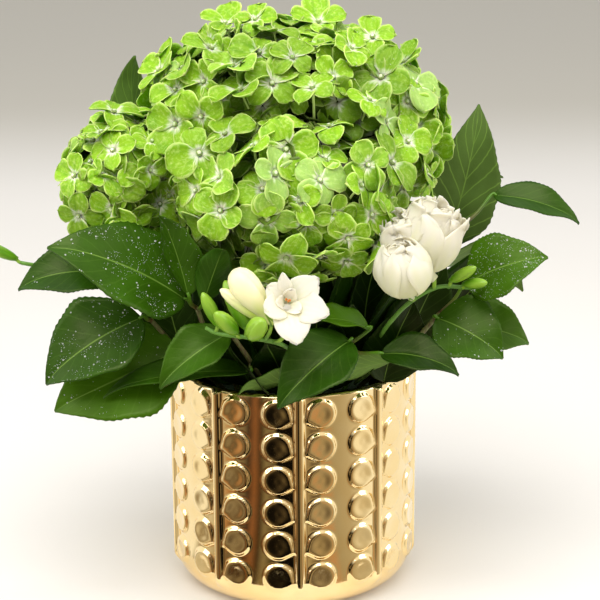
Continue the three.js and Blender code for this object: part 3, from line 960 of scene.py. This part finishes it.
class CENTERPIECE_OT_inner_leaves(bpy.types.Operator):
    """Stands leaves, darkened with painted shade, between the vase's rim and the flower heads"""

    bl_idname = "centerpiece.inner_leaves"
    bl_label = "Inner leaves"

    def execute(self, context):
        rng = random.Random(29)
        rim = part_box("vase")[1].z
        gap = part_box("hydrangea_head_front")[0].z - rim
        bm = new_mesh()
        for ring, (count, near, far, top) in enumerate(INNER_RINGS):
            for i in range(count):
                a = 2 * math.pi * (i + 0.5 * (ring % 2)) / count + rng.uniform(-0.15, 0.15)
                out = Vector((math.sin(a), -math.cos(a), 0))
                foot = out * near * MM + Vector((0, 0, rim - 4 * MM))
                tip = out * far * MM * rng.uniform(0.95, 1.15)
                tip += Vector((0, 0, rim + gap * top * rng.uniform(0.9, 1.15)))
                tip += Vector((-out.y, out.x, 0)) * rng.uniform(-14, 14) * MM
                self.stand(bm, foot, tip, out, rng.uniform(13, 18) * MM, rng)
        for foot, tip, half in SIDE_LEAVES:
            foot, tip = Vector(foot) * MM, Vector(tip) * MM
            self.stand(bm, foot, tip, Vector((0.3 * math.copysign(1, foot.x), -1, 0)), half * MM, rng)
        skins = [bpy.data.materials["lemon_leaf_" + side] for side in ("upper", "underside")]
        finished(bm, "inner_leaves", skins, "glossy_leaf", [], 0.5 * MM, 1)
        return {"FINISHED"}

    def stand(self, bm, foot, tip, out, half, rng):
        """One leaf that faces a direction, darkened with painted shade, as it stands in the shade."""
        along = (tip - foot).normalized()
        face = (out - along * out.dot(along)).normalized()
        leaf = {
            "foot": foot, "length": (tip - foot).length, "half": half,
            "along": along, "face": face, "across": along.cross(face),
            "fold": rng.uniform(0.1, 0.3), "arch": rng.uniform(-0.12, -0.02),
            "phase": rng.uniform(0, 6.28), "wave": MM, "sway": rng.uniform(-0.03, 0.03),
        }
        made = new_grid(bm, 10, 24)
        for v in made:
            v.co = on_leaf(leaf, v.co.x, (v.co.y + 1) / 2)
        # a tone below 0 paints the leaf in shade
        set_tone(bm, made, rng.uniform(-0.9, -0.3))


MISTED_LEAVES = {  # beads tried on each, and how strong a patch of mist has to be before they stay
    "left_1": (1100, 0.0), "left_3": (560, 0.0), "left_4": (90, 0.0), "right_2": (520, -0.4),
    "right_1": (60, -0.4), "left_2": (60, 0.0), "left_6": (90, 0.0),
}
SEPAL_BEADS = 420


class CENTERPIECE_OT_mist(bpy.types.Operator):
    """Scatters beads of water over the misted leaves"""

    bl_idname = "centerpiece.mist"
    bl_label = "Water beads"

    def execute(self, context):
        rng = random.Random(17)
        beads = []
        for level in (1, 2):
            bm = bmesh.new()
            bmesh.ops.create_icosphere(bm, subdivisions=level, radius=1)
            beads.append(template(bm))
        bm = new_mesh()
        for end, (count, dry) in MISTED_LEAVES.items():
            leaf = LEAVES["lemon_leaf_" + end]
            for _ in range(count):
                t, u = rng.uniform(0.06, 0.95), rng.uniform(-0.94, 0.94)
                # the mist lies in patches, with a few grown beads between them
                patch = noise.noise(Vector((3 * u + leaf["phase"], 5 * t, leaf["phase"])))
                grown = rng.random() < 0.05
                if patch < dry and not grown:
                    continue
                size = (rng.uniform(0.3, 0.5) if grown else rng.uniform(0.11, 0.21)) * MM
                point = on_leaf(leaf, u, t)
                tilt = (on_leaf(leaf, u + 0.02, t) - point).cross(on_leaf(leaf, u, t + 0.01) - point)
                normal = tilt.normalized() if tilt.dot(leaf["face"]) > 0 else -tilt.normalized()
                flat = Matrix.Diagonal((size * rng.uniform(0.85, 1.15), size, size * 0.62, 1))
                add_mesh(bm, beads[grown], placing(point, normal, rng.uniform(0, 3)) @ flat)
        # a fine mist on the sepals of the right side
        sepals = bpy.data.objects["hydrangea_florets_top"].data.vertices
        right = [v for v in sepals if v.co.x > 25 * MM and v.co.y < 5 * MM and v.co.z > 190 * MM]
        for v in rng.sample(right, min(SEPAL_BEADS, len(right))):
            size = rng.uniform(0.14, 0.3) * MM
            add_mesh(bm, beads[0], placing(v.co, v.normal) @ Matrix.Diagonal((size, size, size, 1)))
        finished(bm, "water_beads", [water()], "water", [])
        return {"FINISHED"}


# ---- freesias ------------------------------------------------------------------------------------
def add_tepal(bm, length, width, turn, rng, opening, foot=0.0, ruffle=0.08, columns=10, rows=12):
    """A cupped tepal that stands on the origin along +Z. Its tip leans out by its opening, in radians."""
    made = new_grid(bm, columns, rows)
    phase = rng.uniform(0, 6.28)
    rock = Matrix.Rotation(turn, 3, "Z")
    for v in made:
        u = v.co.x
        t = 1 - (1 - (v.co.y + 1) / 2) ** 1.35
        half = width / 2 * (0.25 + t) ** 0.8 * max(1 - t**3.4, 0) ** 0.5
        lean = opening * (0.35 + 0.65 * t)
        run = length * t
        radius = foot + run * math.sin(lean) * (0.55 + 0.45 * t)
        height = run * math.cos(lean * 0.8)
        wave = ruffle * length * math.sin(7 * u + 5 * t + phase) * t**1.5 * (0.4 + abs(u))
        bend = u * half
        inward = 0.5 * bend * bend / max(width, 1e-6)
        point = Vector((bend, -(radius + wave - inward), height + 0.4 * wave))
        v.co = rock @ point
    bmesh.ops.remove_doubles(bm, verts=made, dist=0.02 * MM)


def add_wrap(bm, radius, tall, turn, spread, close, flare, ripple, rng, columns=22, rows=16):
    """A broad tepal that wraps round part of a ball on the origin, from its foot to where it closes."""
    made = new_grid(bm, columns, rows)
    phase, notch = rng.uniform(0, 6.28), rng.uniform(0.0, 0.12)
    for v in made:
        u = v.co.x
        t = 1 - (1 - (v.co.y + 1) / 2) ** 1.9
        notched = 1 - notch * math.exp(-((u - 0.2 * math.sin(phase)) * 5) ** 2)
        t_edge = t * notched * (1 + 0.04 * math.sin(9 * u + phase) * t)
        lift = 0.25 + (close - 0.25) * t_edge
        wide = spread * (0.3 + t) ** 0.55 * max(1 - t**9, 0) ** 0.5
        a = turn + u * wide
        long = 0.07 * math.sin(5 * u + 3 * t + phase) * t * t
        short = 0.035 * math.sin(11 * u + phase * 2) * t**4
        ruffle = 1 + ripple * (long + short)
        overlap = 0.04 * radius * abs(u) * math.copysign(1, math.sin(phase))
        r = radius * ruffle * math.sin(lift) + flare * radius * t**4 + overlap
        height = tall * (1 - math.cos(lift)) / (1 - math.cos(close)) * ruffle
        v.co = (r * math.cos(a), r * math.sin(a), height)
    bmesh.ops.remove_doubles(bm, verts=made, dist=0.02 * MM)


CROWN_RINGS = (  # tepals, shares of the radius and length, how far one wraps round, and where it closes
    (3, 1.04, 0.94, 1.3, 2.6), (3, 0.98, 0.99, 1.3, 2.7), (3, 0.89, 0.98, 1.25, 2.75),
    (3, 0.76, 0.96, 1.2, 2.8), (2, 0.5, 0.93, 1.5, 2.85),
)


def bloom(rng, radius, length, opened):
    """A double flower: rings of broad tepals wrapped round a bud, closed or ruffled open."""
    bm = new_mesh()
    for k, (count, wide, tall, spread, close) in enumerate(CROWN_RINGS):
        for i in range(count):
            add_wrap(
                bm, radius * wide * rng.uniform(0.96, 1.04), length * tall * rng.uniform(0.94, 1.04),
                2 * math.pi * (i + 0.5 * k) / count + rng.uniform(-0.3, 0.3), spread,
                close - opened * (2.2 - 0.4 * k), 0.4 * opened * (1 - 0.25 * k), 0.6 + 4 * opened, rng,
            )
    foot, tip = Vector((0, 0, 0.1 * length)), Vector((0, 0, 0.88 * length))
    add_bud(bm, foot, tip, 0.7 * radius, rng, 3, 3.0, 0.2, FULL_BUD)
    return bm


CROWNS = {  # shift from the flower's middle in mm, way it faces, radius and length in mm, how far it is open
    "freesia_flower_right_1": [((0, 0, 3.5), (-0.2, -0.2, 0.95), 13, 25, 0.03)],
    "freesia_flower_right_2": [
        ((-2, 0, 0), (0.3, -0.12, 0.9), 13.5, 31, 0.16), ((-13, 1, -2), (-0.4, -0.1, 0.85), 10.5, 26, 0.12),
    ],
}
OPEN_TEPALS = [  # turn from straight down, length and width in millimetres, and how far it leans open
    (0.1, 20, 21, 1.3), (1.15, 19, 19, 1.2), (2.15, 17, 18, 1.15), (3.3, 14, 9, 0.95), (4.1, 13, 14, 0.9),
    (5.15, 15, 16, 0.85), (0.7, 11, 9, 0.6), (2.7, 10, 9, 0.55), (4.8, 10, 9, 0.5),
]


def open_bloom(rng):
    """A flower that has opened wide: six tepals that lean out round three smaller, steeper ones."""
    bm = new_mesh()
    for turn, length, width, lean in OPEN_TEPALS:
        add_tepal(bm, length * MM, width * MM, turn, rng, lean, 0.8 * MM, 0.045)
    return bm


SLIM_BUD = (  # radii and heights as shares of a bud's own
    (0, 0), (0.3, 0.0), (0.5, 0.03), (0.72, 0.12), (0.9, 0.27), (0.99, 0.45),
    (0.95, 0.62), (0.78, 0.78), (0.5, 0.91), (0.22, 0.98), (0, 1),
)
FULL_BUD = (
    (0, 0), (0.28, 0.0), (0.36, 0.05), (0.52, 0.18), (0.74, 0.34), (0.92, 0.5),
    (1.0, 0.66), (0.96, 0.79), (0.78, 0.9), (0.5, 0.965), (0.2, 0.995), (0, 1),
)


def add_bud(bm, foot, tip, radius, rng, seams=3, twist=2.4, tone=0.0, outline=SLIM_BUD):
    """A closed bud: a turned body whose wrapped tepals show as seams winding to the tip."""
    length = (tip - foot).length
    part = new_mesh()
    turn_outline(part, [(r * radius, z * length) for r, z in outline], 48)
    bmesh.ops.recalc_face_normals(part, faces=part.faces)
    uv = part.loops.layers.uv["UVMap"]
    phase = rng.uniform(0, 6)
    for v in part.verts:
        a, h = math.atan2(v.co.y, v.co.x), min(0.999, max(0.001, v.co.z / length))
        seam = math.exp(-6 * abs(math.sin((seams * a + twist * h + phase) / 2)))
        fold = 1 - 0.22 * seam * math.sin(math.pi * h) ** 0.6
        v.co.x *= fold
        v.co.y *= fold
    for f in part.faces:
        for loop in f.loops:
            x, y, z = loop.vert.co
            loop[uv].uv = (math.atan2(y, x) / (2 * math.pi) + 0.5, z / length)
    body = template(part)
    add_mesh(bm, body, placing(foot, tip - foot, rng.uniform(0, 6)), tone)


def add_calyx(bm, foot, way, size, rng):
    """Three green bracts that clasp the foot of a flower or bud."""
    part = new_mesh()
    for i in range(3):
        tall, turn = size * rng.uniform(0.9, 1.1), 2 * math.pi * i / 3
        add_tepal(part, tall, size * 0.85, turn, rng, 0.12, size * 0.22, 0.01, 6, 6)
    add_mesh(bm, template(part), placing(foot, way, rng.uniform(0, 6)), 0.1)


class CENTERPIECE_OT_freesias(bpy.types.Operator):
    """Opens the ruffled flowers and wraps the buds of the freesias, each on its pedicel"""

    bl_idname = "centerpiece.freesias"
    bl_label = "Freesias"

    def execute(self, context):
        settings = look("freesia")
        rng = random.Random(23)
        white = streaked("freesia_petal", settings.throat, settings.petal, 0.5, 40, 0.3, thin=0.45)
        # broad darker and paler bands run round each bud: painted shade and painted highlight that stand for
        # its seams and the ridges between them
        green = streaked("freesia_bud_skin", linear("#56890F")[:3], settings.bud, 0.28, 6 * math.pi, 0.1, 0.2)
        cream = streaked("opening_bud_petal", linear("#C9DA6A")[:3], linear("#EFE8B8")[:3], 0.4, 30, 0.3)
        bract = streaked("freesia_bract", settings.stem, settings.bud, 0.45, 20)
        near = nearest_on("freesia_stem_")
        flowers, buds = ([n for n in NODES if n.startswith(f"freesia_{kind}_")] for kind in ("flower", "bud"))
        opening = [n for n in buds if "opening" in n]
        bm, calyces, stalks, closed, cracked, anthers = (new_mesh() for _ in range(6))
        for n in flowers:
            foot, tip, radius = poles(n)
            if n.endswith("front"):
                way = self.add_open_flower(bm, anthers, foot, tip, rng)
            else:
                way = self.add_crowns(bm, CROWNS[n], foot, tip, rng)
            neck = curve([foot, foot + way * 0.35, foot + way * 0.7, foot + way], 3)
            widths = [0.13 + 0.28 * (i / len(neck)) ** 1.5 for i in range(len(neck))]
            add_tube(bm, neck, [radius * wide for wide in widths], 14)
            add_calyx(calyces, foot, way, 7 * MM, rng)
            self.add_pedicel(stalks, near, foot, foot + way * 0.02, MM, MM)
        finished(bm, "freesia_flowers", [white], "white_petal", flowers, 0.35 * MM)
        pollen = streaked("freesia_anther", linear("#D9BC74")[:3], linear("#C9742C")[:3], 0.7, 9)
        finished(anthers, "freesia_anthers", [pollen], "white_petal", [])
        for n in buds:
            foot, tip, radius = poles(n)
            if n in opening:
                tip += Vector((-5, 0, -4)) * MM
                foot += Vector((2, 0, 3)) * MM
                add_bud(cracked, foot, tip, radius * 1.05, rng, 2, 1.2, 0.1, FULL_BUD)
                beside = tip + Vector((-6, 1, -9)) * MM
                add_bud(cracked, foot + Vector((-3, 1, 1)) * MM, beside, radius * 0.6, rng, 3, 1.2, -0.2)
            else:
                add_bud(closed, foot, tip, radius * 0.93, rng, 3, 1.0, rng.uniform(-0.2, 0.1))
            way = tip - foot
            add_calyx(calyces, foot - way.normalized() * 0.5 * MM, way, max(radius * 1.5, 4.5 * MM), rng)
            self.add_pedicel(stalks, near, foot, foot + way * 0.04, 0.5 * MM, 0.9 * MM)
        finished(closed, "freesia_buds", [green], "green_bud", [n for n in buds if n not in opening])
        finished(cracked, "freesia_opening_bud", [cream], "white_petal", opening)
        finished(calyces, "freesia_calyces", [bract], "green_bud", [], 0.3 * MM)
        finished(stalks, "freesia_pedicels", [bract], "green_stem", [])
        return {"FINISHED"}

    def add_open_flower(self, bm, anthers, foot, tip, rng):
        """The flower that faces the front, with its anthers. Gives the way from its foot to its throat."""
        facing = Vector((0.12, -0.86, 0.5)).normalized()
        side = facing.cross(Vector((0, 0, -1))).normalized()
        turn = Matrix((side, facing.cross(side), facing)).transposed().to_4x4()
        throat = foot.lerp(tip, 0.5) - facing * 7 * MM + Vector((-4, 0, 3)) * MM
        add_mesh(bm, template(open_bloom(rng)), Matrix.Translation(throat) @ turn)
        for _ in range(3):
            spot = throat + facing * 8 * MM + jitter(rng.uniform, -1.2, 1.2) * MM
            add_bud(anthers, spot, spot + facing * 3.5 * MM, 0.55 * MM, rng)
        return throat + facing * 3 * MM - foot

    def add_crowns(self, bm, crowns, foot, tip, rng):
        """The crowns of one flower. Gives the way from its foot to the last one's seat."""
        for shift, lean, wide, tall, opened in crowns:
            lean = Vector(lean).normalized()
            seat = (foot + tip) / 2 + Vector(shift) * MM - lean * tall * 0.5 * MM
            crown = template(bloom(rng, wide * MM, tall * MM, opened))
            add_mesh(bm, crown, placing(seat, lean, rng.uniform(0, 6)))
            way = seat + lean * 4 * MM - foot
        return way

    def add_pedicel(self, bm, near, foot, end, sag, radius):
        """A short stalk from the nearest stem to the foot of a flower or bud."""
        twig = near.find(foot)[0]
        middle = (twig + foot) / 2 - Vector((0, 0, sag))
        add_tube(bm, curve([twig, middle, end], 3), [radius] * 7)


# ---- stage ---------------------------------------------------------------------------------------
ROOM = [  # colours of the room round the vase, by share of a turn from the back through the left
    (0.0, "#FFFFFF"), (0.265, "#FFFDF8"), (0.285, "#96886E"), (0.3, "#D6CEBE"), (0.325, "#C0B49C"),
    (0.345, "#B88A60"), (0.36, "#6A5A44"), (0.375, "#8E8068"), (0.395, "#443428"), (0.41, "#8A5C3C"),
    (0.425, "#443424"), (0.44, "#8A7C5E"), (0.455, "#463C2C"), (0.47, "#14110D"), (0.5, "#0C0A08"),
    (0.512, "#6E5E46"), (0.53, "#B0A080"), (0.545, "#5E5040"), (0.565, "#A89A7E"), (0.58, "#C29874"),
    (0.595, "#ABA088"), (0.63, "#BDB29C"), (0.655, "#D2C8B4"), (0.68, "#FFFDF8"), (1.0, "#FFFFFF"),
]


CARD_RADII = (0.088, 2.5)
CAMERA_PLACE = (0, -0.8602, 0.38267)
CAMERA_TURN = (15.62, 0.28, -0.41)  # degrees that the camera looks down, turns right and rolls


def room_colour(tree, vector):
    """The room's colour in a direction, by share of a turn, 0.5 in front, and the direction's height."""
    split = node(tree, "SeparateXYZ", {"Vector": vector})
    front = node(tree, "Math", [split.outputs["Y"], -1.0], operation="MULTIPLY")
    angle = node(tree, "Math", [split.outputs["X"], front], operation="ARCTAN2")
    share = node(tree, "Math", [angle, 1 / (2 * math.pi), 0.5], operation="MULTIPLY_ADD")
    return node(tree, "ValToRGB", {"Fac": share}, [(p, linear(c)) for p, c in ROOM]), split.outputs["Z"]


def pale_floor(settings):
    """Matt pale floor, barely mottled, greyer far behind, with a faint painted glow that stands for a little
    of the room's light given back.
    """
    material, tree = new_material("pale_floor")
    place = node(tree, "TexCoord").outputs["Object"]
    grain = node(tree, "TexNoise", {"Vector": place, "Scale": 3, "Detail": 2})
    depth = node(tree, "SeparateXYZ", {"Vector": place}).outputs["Y"]
    far = node(tree, "MapRange", {"Value": depth, "From Min": 0.85, "From Max": 1.5}, **SOFT)
    pale = solid(settings.floor)
    tint = node(tree, "ValToRGB", {"Fac": grain}, [(0.3, tuple(c * 0.97 for c in pale)), (0.7, pale)])
    tint = node(tree, "Mix", {"Factor": far, 6: tint, 7: linear("#B9B4A8")}, data_type="RGBA")
    # painted light: the floor glows faintly in its own colour
    glow = {"Emission Color": tint, "Emission Strength": 0.12}
    return covered(material, {"Base Color": tint, "Roughness": 0.5, "Specular IOR Level": 0.2, **glow})


def mirrored_room():
    """The room round the vase, for the card on the floor that the gold mirrors."""
    material, tree = new_material("mirrored_room")
    room, _ = room_colour(tree, node(tree, "TexCoord").outputs["Object"])
    glow = node(tree, "Emission", {"Color": room, "Strength": 1.0})
    node(tree, "OutputMaterial", {"Surface": glow})
    return material


def studio():
    """The world: the room round the vase, white overhead, with a plain pale wall where the camera sees it."""
    world = bpy.data.worlds.new("studio")
    world.use_nodes = True
    tree = world.node_tree
    tree.nodes.clear()
    room, height = room_colour(tree, node(tree, "TexCoord").outputs["Generated"])
    up = node(tree, "MapRange", {"Value": height, "From Min": 0.25, "From Max": 0.75}, **SOFT)
    room = node(tree, "Mix", {"Factor": up, 6: room, 7: linear("#FFFEFB")}, data_type="RGBA")
    seen = node(tree, "LightPath").outputs["Is Camera Ray"]
    behind = node(tree, "ValToRGB", {"Fac": height}, [(0.0, linear("#F4F3F0")), (0.5, linear("#C9C6C0"))])
    shown = node(tree, "Mix", {"Factor": seen, 6: room, 7: behind}, data_type="RGBA")
    # mirrored, the room is brighter than it is where it only lights the leaves
    mirrored = node(tree, "LightPath").outputs["Is Glossy Ray"]
    power = node(tree, "MapRange", {"Value": mirrored, "To Min": 0.6, "To Max": 1.05})
    glow = node(tree, "Background", {"Color": shown, "Strength": power})
    node(tree, "OutputWorld", {"Surface": glow})
    return world


def add_light(name, place, target, size, power):
    """A square soft box that faces a target and stays out of the camera's sight."""
    data = bpy.data.lights.new(name, "AREA")
    data.shape, data.size, data.energy = "SQUARE", size, power
    lamp = bpy.data.objects.new(name, data)
    bpy.context.scene.collection.objects.link(lamp)
    lamp.location = place
    lamp.rotation_euler = (Vector(target) - Vector(place)).to_track_quat("-Z", "Y").to_euler()
    lamp.visible_camera = False
    return lamp


class CENTERPIECE_OT_stage(bpy.types.Operator):
    """Lays the pale floor, hangs the soft boxes, shades the room that the gold mirrors and sets the camera"""

    bl_idname = "centerpiece.stage"
    bl_label = "Stage"

    def execute(self, context):
        settings = look("stage")
        scene = context.scene
        bm = bmesh.new()
        bmesh.ops.create_grid(bm, x_segments=8, y_segments=8, size=4)
        floor = self.sheet(bm, "floor", pale_floor(settings))
        floor.location.z = -0.05 * MM
        # a ring of card on the floor, seen only in mirrored light, carries the room down to the vase's foot
        bm = bmesh.new()
        for radius in CARD_RADII:
            bmesh.ops.create_circle(bm, radius=radius, segments=96)
        bmesh.ops.bridge_loops(bm, edges=bm.edges[:])
        card = self.sheet(bm, "room_card", mirrored_room())
        card.location.z = 0.6 * MM
        card.visible_camera = card.visible_diffuse = card.visible_shadow = card.visible_transmission = False
        scene.world = studio()

        add_light("soft_box_top", (-0.15, -0.7, 1.6), (0, 0, 0.15), 1.3, settings.key)
        front = add_light("soft_box_front", (0.5, -1.5, 0.6), (0.02, 0, 0.18), 0.8, settings.fill)
        front.visible_glossy = False
        add_light("soft_box_left", (-1.3, -0.5, 0.7), (0, 0, 0.15), 0.9, settings.side)
        add_light("soft_box_right", (1.3, -0.35, 0.8), (0, 0, 0.15), 0.9, settings.side)

        data = bpy.data.cameras.new("camera")
        data.sensor_width, data.lens = 36, 108
        data.clip_start, data.clip_end = 0.05, 30
        camera = bpy.data.objects.new("camera", data)
        scene.collection.objects.link(camera)
        pitch, yaw, roll = (math.radians(angle) for angle in CAMERA_TURN)
        turn = Matrix.Rotation(-yaw, 4, "Z") @ Matrix.Rotation(math.pi / 2 - pitch, 4, "X")
        place = Matrix.Translation(CAMERA_PLACE)
        camera.matrix_world = place @ turn @ Matrix.Rotation(roll, 4, "Z")
        scene.camera = camera
        scene.view_settings.view_transform = "Standard"
        return {"FINISHED"}

    def sheet(self, bm, name, material):
        """A flat part of the stage."""
        mesh = template(bm, name)
        mesh.materials.append(material)
        made = bpy.data.objects.new(name, mesh)
        bpy.context.scene.collection.objects.link(made)
        return made


class CENTERPIECE_PT_panel(bpy.types.Panel):
    """Buttons and settings of the centerpiece"""

    bl_idname = "CENTERPIECE_PT_panel"
    bl_label = "Centerpiece"
    bl_space_type = "VIEW_3D"
    bl_region_type = "UI"
    bl_category = "Centerpiece"

    def draw(self, context):
        for operator in OPERATORS:
            self.layout.operator(operator.bl_idname)
        for name, group in LOOKS.items():
            box = self.layout.box()
            box.label(text=name.capitalize())
            for key in group.__annotations__:
                box.prop(getattr(context.scene, "centerpiece_" + name), key)


OPERATORS = (
    CENTERPIECE_OT_vase,
    CENTERPIECE_OT_stems,
    CENTERPIECE_OT_hydrangeas,
    CENTERPIECE_OT_foliage,
    CENTERPIECE_OT_inner_leaves,
    CENTERPIECE_OT_mist,
    CENTERPIECE_OT_freesias,
    CENTERPIECE_OT_stage,
)


def register():
    for group in LOOKS.values():
        bpy.utils.register_class(group)
    for name, group in LOOKS.items():
        setattr(bpy.types.Scene, "centerpiece_" + name, PointerProperty(type=group))
    for operator in OPERATORS:
        bpy.utils.register_class(operator)
    bpy.utils.register_class(CENTERPIECE_PT_panel)


def unregister():
    bpy.utils.unregister_class(CENTERPIECE_PT_panel)
    for operator in reversed(OPERATORS):
        bpy.utils.unregister_class(operator)
    for name in LOOKS:
        delattr(bpy.types.Scene, "centerpiece_" + name)
    for group in reversed(LOOKS.values()):
        bpy.utils.unregister_class(group)


def main():
    register()
    for build in ("vase", "stems", "hydrangeas", "foliage", "inner_leaves", "mist", "freesias", "stage"):
        getattr(bpy.ops.centerpiece, build)()


if __name__ == "__main__":
    main()
